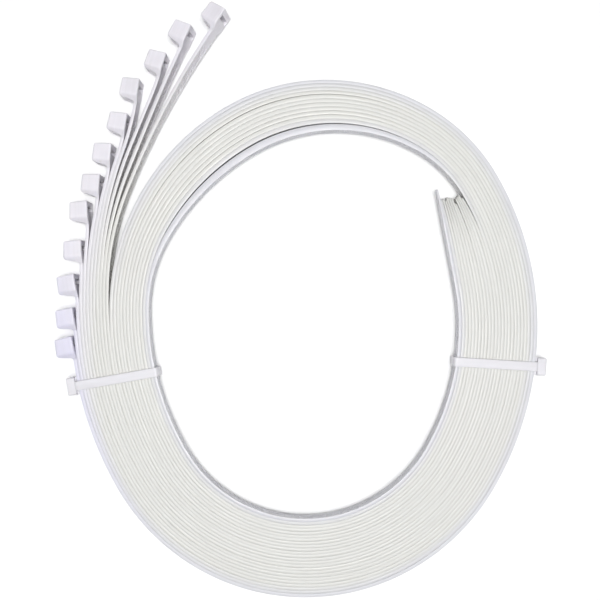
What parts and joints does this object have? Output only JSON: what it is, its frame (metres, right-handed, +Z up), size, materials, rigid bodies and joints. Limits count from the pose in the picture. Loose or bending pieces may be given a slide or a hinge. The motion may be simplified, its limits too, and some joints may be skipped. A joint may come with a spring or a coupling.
{
  "type": "cable tie bundle",
  "caption": "Flat oval coil of extra-long natural nylon cable ties lying side by side on edge, heads fanned out at one side, held by two small cable ties.",
  "frame": {"origin": "centre of the bundle's footprint, on the surface that it lies on", "axes": "+Z up, through the eye of the coil; +Y along the coil's long side, towards the heads that stand off the coil; +X towards the side with the tail ends"},
  "size_m": [0.2559, 0.3094, 0.0149],
  "materials": {
    "natural_nylon": "satin natural white nylon",
    "retainer_nylon": "satin cool white nylon"
  },
  "bodies": {
    "bundle": {"tie_01": "natural_nylon", "tie_02": "natural_nylon", "tie_03": "natural_nylon", "tie_04": "natural_nylon", "tie_05": "natural_nylon", "tie_06": "natural_nylon", "tie_07": "natural_nylon", "tie_08": "natural_nylon", "tie_09": "natural_nylon", "tie_10": "natural_nylon", "tie_11": "natural_nylon", "tie_12": "natural_nylon", "retainer_left": "retainer_nylon", "retainer_right": "retainer_nylon"},
    "pawl_01": {"pawl_01": "natural_nylon"},
    "pawl_02": {"pawl_02": "natural_nylon"},
    "pawl_03": {"pawl_03": "natural_nylon"},
    "pawl_04": {"pawl_04": "natural_nylon"},
    "pawl_05": {"pawl_05": "natural_nylon"},
    "pawl_06": {"pawl_06": "natural_nylon"},
    "pawl_07": {"pawl_07": "natural_nylon"},
    "pawl_08": {"pawl_08": "natural_nylon"},
    "pawl_09": {"pawl_09": "natural_nylon"},
    "pawl_10": {"pawl_10": "natural_nylon"},
    "pawl_11": {"pawl_11": "natural_nylon"},
    "pawl_12": {"pawl_12": "natural_nylon"},
    "retainer_pawl_left": {"retainer_pawl_left": "retainer_nylon"},
    "retainer_pawl_right": {"retainer_pawl_right": "retainer_nylon"}
  },
  "joints": [
    {"name": "pawl_01_flex", "type": "hinge", "parent": "bundle", "child": "pawl_01", "pos_m": [-0.04389, 0.14443, 0.00805], "axis": [-0.1282, 0.0896, 0.9877], "range_deg": [0, 12], "stiffness_Nm_per_rad": 0.002},
    {"name": "pawl_02_flex", "type": "hinge", "parent": "bundle", "child": "pawl_02", "pos_m": [-0.06092, 0.13578, 0.00764], "axis": [-0.0944, 0.0448, 0.9945], "range_deg": [0, 12], "stiffness_Nm_per_rad": 0.002},
    {"name": "pawl_03_flex", "type": "hinge", "parent": "bundle", "child": "pawl_03", "pos_m": [-0.07373, 0.12124, 0.00675], "axis": [0, 0, 1], "range_deg": [0, 12], "stiffness_Nm_per_rad": 0.002},
    {"name": "pawl_04_flex", "type": "hinge", "parent": "bundle", "child": "pawl_04", "pos_m": [-0.08648, 0.10751, 0.00675], "axis": [0, 0, 1], "range_deg": [0, 12], "stiffness_Nm_per_rad": 0.002},
    {"name": "pawl_05_flex", "type": "hinge", "parent": "bundle", "child": "pawl_05", "pos_m": [-0.09297, 0.08965, 0.00675], "axis": [0, 0, 1], "range_deg": [0, 12], "stiffness_Nm_per_rad": 0.002},
    {"name": "pawl_06_flex", "type": "hinge", "parent": "bundle", "child": "pawl_06", "pos_m": [-0.10065, 0.0738, 0.00675], "axis": [0, 0, 1], "range_deg": [0, 12], "stiffness_Nm_per_rad": 0.002},
    {"name": "pawl_07_flex", "type": "hinge", "parent": "bundle", "child": "pawl_07", "pos_m": [-0.10654, 0.05784, 0.00675], "axis": [0, 0, 1], "range_deg": [0, 12], "stiffness_Nm_per_rad": 0.002},
    {"name": "pawl_08_flex", "type": "hinge", "parent": "bundle", "child": "pawl_08", "pos_m": [-0.11239, 0.04401, 0.00675], "axis": [0, 0, 1], "range_deg": [0, 12], "stiffness_Nm_per_rad": 0.002},
    {"name": "pawl_09_flex", "type": "hinge", "parent": "bundle", "child": "pawl_09", "pos_m": [-0.11549, 0.02371, 0.00675], "axis": [0, 0, 1], "range_deg": [0, 12], "stiffness_Nm_per_rad": 0.002},
    {"name": "pawl_10_flex", "type": "hinge", "parent": "bundle", "child": "pawl_10", "pos_m": [-0.11841, 0.00611, 0.00675], "axis": [0, 0, 1], "range_deg": [0, 12], "stiffness_Nm_per_rad": 0.002},
    {"name": "pawl_11_flex", "type": "hinge", "parent": "bundle", "child": "pawl_11", "pos_m": [-0.11916, -0.01139, 0.00675], "axis": [0, 0, 1], "range_deg": [0, 12], "stiffness_Nm_per_rad": 0.002},
    {"name": "pawl_12_flex", "type": "hinge", "parent": "bundle", "child": "pawl_12", "pos_m": [-0.11935, -0.02631, 0.00675], "axis": [0, 0, 1], "range_deg": [0, 12], "stiffness_Nm_per_rad": 0.002},
    {"name": "retainer_pawl_left_flex", "type": "hinge", "parent": "bundle", "child": "retainer_pawl_left", "pos_m": [-0.11812, -0.04497, 0.00535], "axis": [0.1728, -0.985, 0], "range_deg": [0, 10], "stiffness_Nm_per_rad": 0.0005},
    {"name": "retainer_pawl_right_flex", "type": "hinge", "parent": "bundle", "child": "retainer_pawl_right", "pos_m": [0.12328, -0.03475, 0.00535], "axis": [0.0602, 0.9982, 0], "range_deg": [0, 10], "stiffness_Nm_per_rad": 0.0005}
  ]
}
